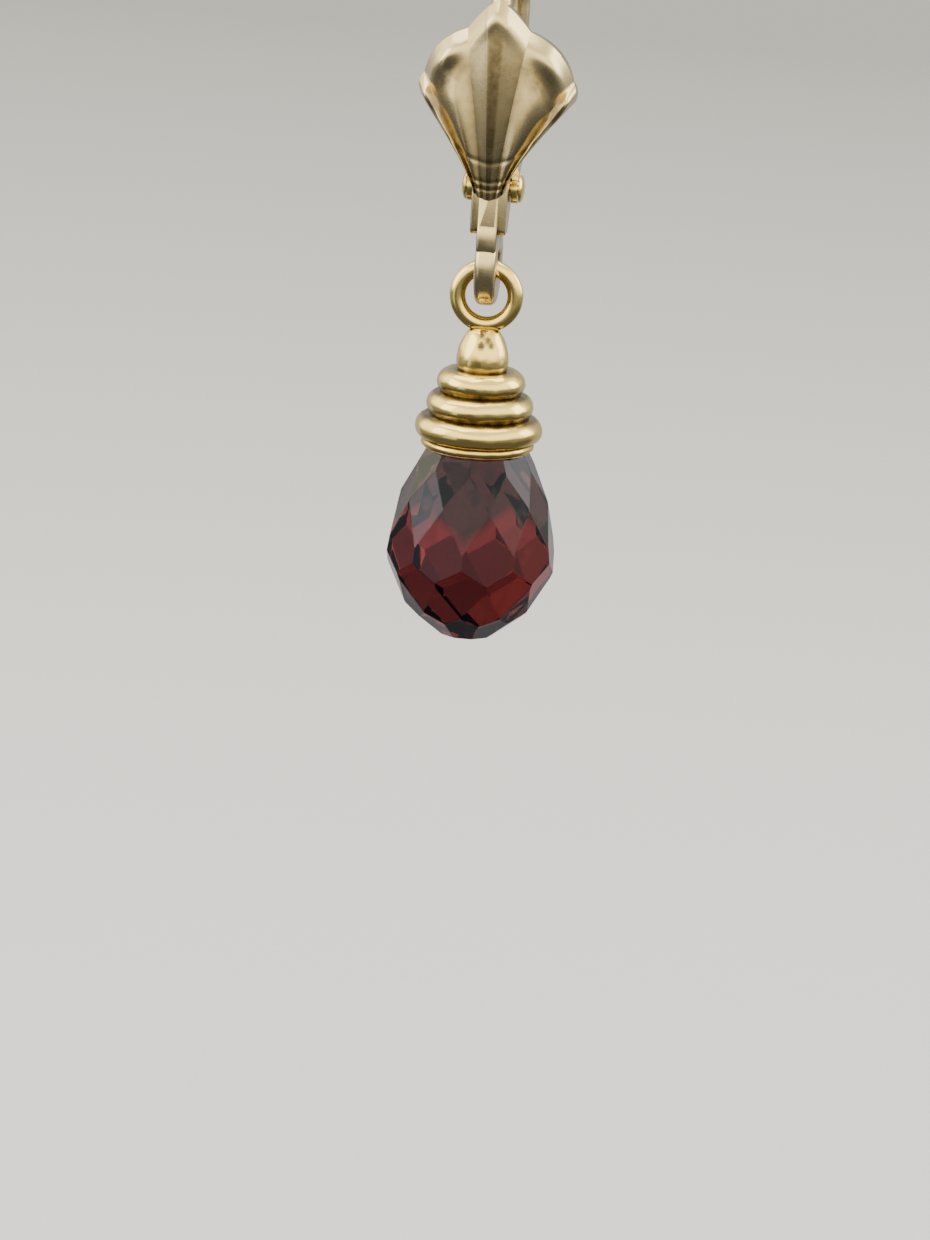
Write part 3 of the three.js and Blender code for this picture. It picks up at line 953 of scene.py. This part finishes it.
@dataclass
class HingePin:
    """Rivet through the bracket and the lever, with domed heads."""

    gold: Material
    centre: Triple = (0.0, -2.8, -10.25)
    shaft_radius: float = 0.28
    half_shaft: float = 1.07
    head_radius: float = 0.58
    head_height: float = 0.2
    head_angles: Sequence[float] = (84.0, 72.0, 56.0, 40.0, 24.0, 8.0)

    def build(self) -> None:
        """Turn the rivet from one domed head to the other."""
        side = []
        for angle in map(math.radians, self.head_angles):
            up = self.half_shaft + self.head_height * math.sin(angle)
            side.append((self.head_radius * math.cos(angle), up))
        side += [(0.97 * self.head_radius, self.half_shaft), (self.shaft_radius, self.half_shaft)]
        profile = [(radius, -along) for radius, along in side] + side[::-1]
        piece = Bench.turned("hinge_pin_rivet", profile, self.centre, 32, Axis.ACROSS)
        Bench.finish(piece, Body.FRONT, "hinge_pin", self.gold, 40.0, self.groove)

    def groove(self, place: Vector) -> float:
        """Give the tarnish on the shaft between the heads."""
        return 0.5 if abs(place.x) < self.half_shaft else 0.0


@dataclass
class Lever:
    """Back lever: a sprung band with two cheeks at the pin and a cup for the wire's tip."""

    gold: Material
    pin_y: float = -2.8
    pin_z: float = -10.25
    pin_hole: float = 0.33
    reach: float = 6.0
    sag: float = 0.35
    rise: float = 1.9
    tip_y: float = 4.3
    tip_z: float = -4.8
    thickness: float = 0.62
    tip_thickness: float = 1.2
    swell_from: float = 0.55
    half_width: float = 1.02
    band_half_width: float = 0.66
    taper_room: float = 0.15
    taper_length: float = 2.4
    cheek_inner_x: float = 0.77
    knuckle_radius: float = 0.6
    slot_room: float = 0.35
    cup_half: float = 0.45
    cup_depth: float = 1.1
    cup_centre_y: float = 3.65
    cup_floor_z: float = -6.4
    cup_round: float = 0.12
    edge: float = 0.1
    steps: int = 48

    def centre_line(self, share: float) -> tuple[Vector, Vector]:
        """Give the band's centre line.

        Args:
            share: The share of its length from the pin.

        Returns:
            The place and the direction, as (y, z).
        """
        ends = (
            Vector((self.pin_y, self.pin_z)),
            Vector((self.pin_y + self.reach, self.pin_z - self.sag)),
            Vector((self.tip_y, self.pin_z + self.rise)),
            Vector((self.tip_y, self.tip_z)),
        )
        t, u = share, 1.0 - share
        place = u**3 * ends[0] + 3 * u * u * t * ends[1] + 3 * u * t * t * ends[2] + t**3 * ends[3]
        way = (
            3 * u * u * (ends[1] - ends[0])
            + 6 * u * t * (ends[2] - ends[1])
            + 3 * t * t * (ends[3] - ends[2])
        )
        return place, way.normalized()

    def outline(self) -> list[Pair]:
        """Give the band's side outline.

        Returns:
            The corners as (y, z), up the outer side and back down the inner one.
        """
        outer: list[Pair] = []
        inner: list[Pair] = []
        for i in range(self.steps + 1):
            share = i / self.steps
            place, way = self.centre_line(share)
            swell = max(0.0, (share - self.swell_from) / (1.0 - self.swell_from)) ** 2
            half = (self.thickness + (self.tip_thickness - self.thickness) * swell) / 2
            outer.append((place.x + way.y * half, place.y - way.x * half))
            inner.append((place.x - way.y * half, place.y + way.x * half))
        return outer + inner[::-1]

    def build(self) -> None:
        """Make the band and its knuckle, cut the slot, the hole and the cup, and round it."""
        piece = Bench.side_plate("back_lever", self.outline(), self.half_width)
        taper_from = self.pin_y + self.knuckle_radius + self.taper_room
        for vertex in piece.data.vertices:
            away = eased((vertex.co.y - taper_from) / self.taper_length)
            vertex.co.x *= 1.0 + (self.band_half_width / self.half_width - 1.0) * away
        pin = (0.0, self.pin_y, self.pin_z)
        Bench.join(piece, Bench.rod("knuckle", self.knuckle_radius, self.half_width, pin, 48))
        slot_radius = self.knuckle_radius + self.slot_room
        Bench.cut(piece, Bench.rod("slot", slot_radius, self.cheek_inner_x, pin, 48))
        Bench.soften(piece, self.edge, 3)
        Bench.cut(piece, Bench.rod("hole", self.pin_hole, 2.0, pin, 32))
        middle = (0.0, self.cup_centre_y, self.cup_floor_z + self.cup_depth)
        size = (2 * self.cup_half, 4 * self.cup_half, 2 * self.cup_depth)
        cup = Bench.block("cup", middle, size)
        Bench.soften(cup, self.cup_round, 3)
        Bench.cut(piece, cup)
        Bench.finish(piece, Body.LEVER, "lever", self.gold, 35.0, self.groove)

    def groove(self, place: Vector) -> float:
        """Give the tarnish in the cup and between the cheeks."""
        in_cup = abs(place.x) <= self.cup_half + 0.01 and place.z > self.cup_floor_z - 0.05
        between = abs(place.x) <= self.cheek_inner_x + 0.01 and place.y < self.pin_y + 0.9
        return 0.6 if (in_cup and place.y > 3.0) or between else 0.0


@dataclass
class DropCap:
    """Eye ring and ridged cap of the drop, cast in one, with the hidden peg for the stone."""

    gold: Material
    axis_y: float = -2.95
    eye_z: float = -14.68
    eye_hole: float = 0.86
    eye_wire: float = 0.65
    eye_depth: float = 0.6
    eye_stain_reach: float = 0.12
    eye_foot_stain_reach: float = 0.22
    top_z: float = -16.0
    height: float = 5.0
    radius: float = 2.63
    dome_radius: float = 1.06
    dome_shoulder: float = 0.66
    dome_shoulder_down: float = 0.03
    dome_widest: float = 0.27
    dome_foot: float = 0.35
    dome_tuck: float = 0.06
    ridge_round: float = 0.53
    ridge_top: float = 66.0
    ridge_bottom: float = -46.0
    ridges: Sequence[Pair] = ((0.452, 0.69), (0.642, 0.838), (0.832, 1.0))
    lip_round: float = 0.19
    lip: Pair = (0.962, 0.888)
    seat_depth: float = 0.9
    seat_gap: float = 0.06
    stone_radius_at_foot: float = 2.16
    stone_radius_at_top: float = 1.65
    peg_radius: float = 0.4
    peg_length: float = 1.4
    sides: int = 128
    casting_scale: float = 0.9
    casting_depth: float = 0.09
    groove_from: float = 0.06
    groove_over: float = 0.3
    # Painted shade on the undersides of the ridges
    underside_painted_shade: float = 0.85
    underside_end: float = 0.6
    pits: Sequence[tuple[Triple, float, float]] = (
        ((0.0, -3.66, -16.18), 0.15, 0.07),
        ((0.0, -3.86, -16.58), 0.2, 0.1),
        ((0.27, -3.74, -16.34), 0.2, 0.12),
        ((0.42, -3.80, -16.52), 0.22, 0.14),
    )

    def down(self, share: float) -> float:
        """Give the height that lies a share of the cap's height below its top."""
        return self.top_z - share * self.height

    def profile(self) -> list[Pair]:
        """Give the cap's profile, from its top over the ridges and back up to the peg.

        Returns:
            Radius and height of each ring.
        """
        widest = self.down(self.dome_widest)
        foot = self.down(self.dome_foot)
        shoulder = self.down(self.dome_shoulder_down)
        rings = [
            (0.35 * self.dome_shoulder, self.top_z),
            (0.8 * self.dome_shoulder, self.top_z - 0.02),
        ]
        for i in range(17):
            z = shoulder + (foot - shoulder) * i / 16
            above = z > widest
            reach = (z - widest) / (shoulder - widest if above else widest - foot)
            tuck = self.dome_tuck * self.dome_radius
            fall = self.dome_radius - self.dome_shoulder if above else tuck
            rings.append((self.dome_radius - fall * reach * reach, z))
        for share, out in self.ridges:
            centre = (out * self.radius - self.ridge_round, self.down(share))
            rings += arc(centre, self.ridge_round, self.ridge_top, self.ridge_bottom, 14)
        centre = (self.lip[1] * self.radius - self.lip_round, self.down(self.lip[0]))
        rings += arc(centre, self.lip_round, 70.0, -90.0, 8)
        bottom = self.top_z - self.height
        ceiling = bottom + self.seat_depth + self.seat_gap
        rings += [
            (self.stone_radius_at_foot + self.seat_gap, bottom),
            (self.stone_radius_at_top + self.seat_gap, ceiling),
            (self.peg_radius, ceiling),
            (self.peg_radius, ceiling - self.seat_gap - self.peg_length),
        ]
        return rings

    def inner_radius(self, z: float) -> float:
        """Give the hollow's size over the stone.

        Args:
            z: The height.

        Returns:
            The hollow's radius there, or 0 above it.
        """
        share = (z - self.top_z + self.height) / (self.seat_depth + self.seat_gap)
        if share > 1.0:
            return 0.0
        taper = self.stone_radius_at_top - self.stone_radius_at_foot
        return self.stone_radius_at_foot + self.seat_gap + share * taper

    def is_outside(self, place: Vector) -> bool:
        """Tell whether a point lies on the cap's outer face."""
        out = math.hypot(place.x, place.y - self.axis_y)
        clear = place.z > self.top_z - self.height + 0.02 and out > 0.5 * self.dome_radius
        return clear and out > self.inner_radius(place.z) + 0.1

    def cap(self) -> None:
        """Turn the cap, give it the unevenness of a casting and press in its pits."""
        piece = Bench.turned("ridged_cap", self.profile(), (0.0, self.axis_y, 0.0), self.sides)
        cloud = bpy.data.textures.new("casting", "CLOUDS")
        cloud.noise_scale = self.casting_scale
        outside = piece.vertex_groups.new(name="outside")
        chosen = [vertex.index for vertex in piece.data.vertices if self.is_outside(vertex.co)]
        outside.add(chosen, 1.0, "REPLACE")
        Bench.mark(piece, self.groove)
        Bench.apply(
            piece, "DISPLACE", texture=cloud, strength=self.casting_depth, mid_level=0.5,
            texture_coords="LOCAL", vertex_group="outside",
        )
        bpy.data.textures.remove(cloud)
        for vertex in piece.data.vertices:
            inward = Vector((-vertex.co.x, self.axis_y - vertex.co.y, 0.0)).normalized()
            for centre, reach, depth in self.pits:
                vertex.co += inward * depth * near(vertex.co, centre, reach)
        Bench.finish(piece, Body.DROP, "drop_cap", self.gold, 50.0)

    def groove(self, place: Vector) -> float:
        """Give the tarnish at a point: full in the grooves, the pits and the hollow, with painted
        shade on the ridges' undersides.

        Args:
            place: The point in millimetres.

        Returns:
            A share from 0 to 1.
        """
        out = math.hypot(place.x, place.y - self.axis_y)
        if place.z < self.top_z - self.height + 1.2 and out < self.inner_radius(place.z) + 0.05:
            return 0.8
        crests = [(self.dome_radius, self.down(self.dome_widest))]
        crests += [(share_out * self.radius, self.down(share)) for share, share_out in self.ridges]
        above = [crest for crest in crests if crest[1] >= place.z]
        below = [crest for crest in crests if crest[1] < place.z]
        depth = 0.0
        if not below:
            depth = (crests[-1][0] - out - 0.25) / 0.25
        elif above:
            (out_a, z_a), (out_b, z_b) = above[-1], below[0]
            fall = (z_a - place.z) / (z_a - z_b)
            envelope = out_a + (out_b - out_a) * fall
            depth = (envelope - out - self.groove_from) / self.groove_over
            # Painted shade on the underside of the ridge above
            if len(above) > 1 and fall < self.underside_end:
                share = min(1.0, (fall - 0.06) / 0.22, (self.underside_end - fall) / 0.1)
                depth = max(depth, self.underside_painted_shade * share)
        pitted = 1.8 * max(near(place, centre, 1.2 * reach) for centre, reach, _ in self.pits)
        return clamp(max(depth, pitted))

    def eye_ring(self) -> None:
        """Make the eye ring: an oval section spun round the eye."""
        eye = (0.0, self.axis_y, self.eye_z)
        side = (self.eye_hole + self.eye_wire / 2, self.axis_y, self.eye_z)
        piece = Bench.ring("eye_ring", 24, 0.5, side)
        piece.scale = (self.eye_wire, self.eye_depth, 1.0)
        Bench.settle()
        Bench.edit()
        bpy.ops.mesh.spin(steps=96, angle=2 * math.pi, center=eye, axis=(0.0, 1.0, 0.0))
        Bench.close()
        Bench.finish(piece, Body.DROP, "drop_cap", self.gold, 50.0, self.eye_groove)

    def eye_groove(self, place: Vector) -> float:
        """Give the tarnish inside the eye and at its foot."""
        out = math.hypot(place.x, place.z - self.eye_z)
        inside = max(0.0, 1.0 + (self.eye_hole - out) / self.eye_stain_reach)
        foot = max(0.0, 1.0 + (self.top_z - place.z) / self.eye_foot_stain_reach)
        return min(1.0, max(0.6 * inside, 0.8 * foot))

    def build(self) -> None:
        """Make the cap and its ring; together they stand for the cap's solid."""
        self.cap()
        self.eye_ring()


@dataclass
class Briolette:
    """Faceted stone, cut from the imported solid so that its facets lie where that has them."""

    garnet: Material
    edge: float = 0.02
    weld: float = 0.003
    flat_angle: float = 0.6
    facet_angle: float = 3.0

    def build(self) -> None:
        """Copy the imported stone, merge its flat facets and polish their edges."""
        Bench.clear()
        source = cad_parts["briolette"]
        piece = bpy.data.objects.new("faceted_stone", source.data.copy())
        bpy.context.scene.collection.objects.link(piece)
        piece.scale = (1 / MM, 1 / MM, 1 / MM)
        Bench.only(piece)
        Bench.settle()
        Bench.edit()
        bpy.ops.mesh.customdata_custom_splitnormals_clear()
        bpy.ops.mesh.remove_doubles(threshold=self.weld)
        bpy.ops.mesh.dissolve_limited(angle_limit=math.radians(self.flat_angle))
        Bench.leave()
        Bench.apply(
            piece, "BEVEL", width=self.edge, segments=1, limit_method="ANGLE",
            angle_limit=math.radians(self.facet_angle), use_clamp_overlap=True,
        )
        Bench.finish(piece, Body.DROP, "briolette", self.garnet, 0.0, slot=Slot.GARNET)


@dataclass
class Studio:
    """Pale floor, soft lights and the camera at the photograph's angle."""

    floor_z: float = -85.0
    floor_size: float = 6000.0
    # Floor colours, darker towards the back as painted shade
    floor_near: Colour = (0.57, 0.60, 0.69, 1.0)
    floor_far_painted_shade: Colour = (0.325, 0.347, 0.41, 1.0)
    eye: Triple = (13.43, -138.89, 10.73)
    azimuth: float = 5.67
    elevation: float = 16.0
    roll: float = 3.49
    lens: float = 98.7
    aim: Triple = (0.0, -2.0, -15.0)
    # Name, place, size across and up, power in watts and colour
    lights: Sequence[tuple[str, Triple, Pair, float, Triple]] = (
        ("overhead", (-30.0, 40.0, 230.0), (300.0, 220.0), 0.6, (1.0, 0.99, 0.97)),
        ("left_window", (-230.0, -90.0, 70.0), (150.0, 200.0), 0.2, (0.99, 1.0, 1.0)),
        ("right_fill", (220.0, 60.0, 60.0), (120.0, 160.0), 0.15, (1.0, 0.99, 0.98)),
    )
    daylight: Colour = (1.0, 0.91, 0.66, 1.0)
    skylight: Colour = (0.88, 0.96, 1.0, 1.0)
    backdrop: Colour = (0.19, 0.19, 0.19, 1.0)
    shade: Colour = (0.042, 0.042, 0.044, 1.0)
    room_strength: float = 2.8
    low_light: float = 0.07
    doorway_light: float = 0.28
    corner_shade: float = 0.06
    soffit_shade: float = 0.45

    def floor(self) -> None:
        """Lay the floor and paint it pale, darker towards the back as painted shade."""
        Bench.clear()
        bpy.ops.mesh.primitive_plane_add(
            size=self.floor_size * MM, location=(0.0, 0.0, self.floor_z * MM)
        )
        plane = Bench.added("floor")
        plane.visible_glossy = False
        finish = bpy.data.materials.new("pale_floor")
        board = Board(finish)
        _, y, _ = board.split(board.place())
        colour = board.blend(y.step(0.15, 0.75), self.floor_near, self.floor_far_painted_shade)
        board.surface({"Base Color": colour, "Roughness": 0.9})
        plane.data.materials.append(finish)

    def sky(self) -> None:
        """Fill the room with soft light: daylight over the front, shade below it."""
        world = bpy.data.worlds.new("room")
        bpy.context.scene.world = world
        board = Board(world)
        x, y, z = board.split(board.add("ShaderNodeTexCoord").outputs["Generated"])
        front = (-1.0 * y).step(-0.8, -0.4)
        left = -1.0 * x
        soffit = z.band(0.60, 0.74, 0.93, 0.98)
        doorway = left.band(0.60, 0.66, 0.76, 0.82)
        corner = left.band(0.06, 0.14, 0.56, 0.62)
        low = self.low_light + self.doorway_light * doorway - self.corner_shade * corner
        low = low * z.step(-0.45, -0.29)
        high = z.step(-0.12, 0.16) * (1.0 - self.soffit_shade * soffit)
        colour = board.blend(front, self.backdrop, self.shade)
        colour = board.blend((low * front).kept(), colour, self.skylight)
        colour = board.blend(high * front, colour, self.daylight)
        inputs = {"Color": colour, "Strength": self.room_strength}
        background = board.add("ShaderNodeBackground", inputs)
        board.add("ShaderNodeOutputWorld", {"Surface": background.outputs[0]})

    def lamps(self) -> None:
        """Hang the soft boxes, each turned to the middle of the earring."""
        for name, place, size, power, tint in self.lights:
            data = bpy.data.lights.new(name, "AREA")
            data.shape = "RECTANGLE"
            data.size, data.size_y = size[0] * MM, size[1] * MM
            data.energy = power
            data.color = tint
            lamp = bpy.data.objects.new(name, data)
            lamp.location = Vector(place) * MM
            toward = Vector(self.aim) - Vector(place)
            lamp.rotation_euler = toward.to_track_quat("-Z", "Y").to_euler()
            bpy.context.scene.collection.objects.link(lamp)

    def camera(self) -> None:
        """Set the camera at the photograph's place, direction and roll."""
        data = bpy.data.cameras.new("camera")
        data.lens = self.lens
        data.sensor_width = 36.0
        data.clip_start, data.clip_end = 0.005, 20.0
        camera = bpy.data.objects.new("camera", data)
        turns = ((self.azimuth, "Z"), (90.0 - self.elevation, "X"), (self.roll, "Z"))
        matrix = Matrix.Translation(Vector(self.eye) * MM)
        for angle, axis in turns:
            matrix = matrix @ Matrix.Rotation(math.radians(angle), 4, axis)
        camera.matrix_world = matrix
        bpy.context.scene.collection.objects.link(camera)
        bpy.context.scene.camera = camera

    def build(self) -> None:
        """Set up the floor, the light and the camera."""
        self.floor()
        self.sky()
        self.lamps()
        self.camera()


def main() -> None:
    """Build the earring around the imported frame, then the studio."""
    logging.basicConfig(level=logging.INFO, format="%(message)s")
    gold = GoldFinish("polished_gold").material()
    # A rougher copy of the gold for the shell, its colours darker as painted shade
    dull_shaded_gold = GoldFinish(
        "worn_shaded_gold",
        body=(0.76, 0.62, 0.34, 1.0),
        warm=(0.61, 0.48, 0.25, 1.0),
        gloss=0.19,
    ).material()
    garnet = GarnetFinish("cut_garnet").material()
    ShellFront(dull_shaded_gold).build()
    HingePin(gold).build()
    Lever(gold).build()
    DropCap(gold).build()
    Briolette(garnet).build()
    Studio().build()


if __name__ == "__main__":
    main()
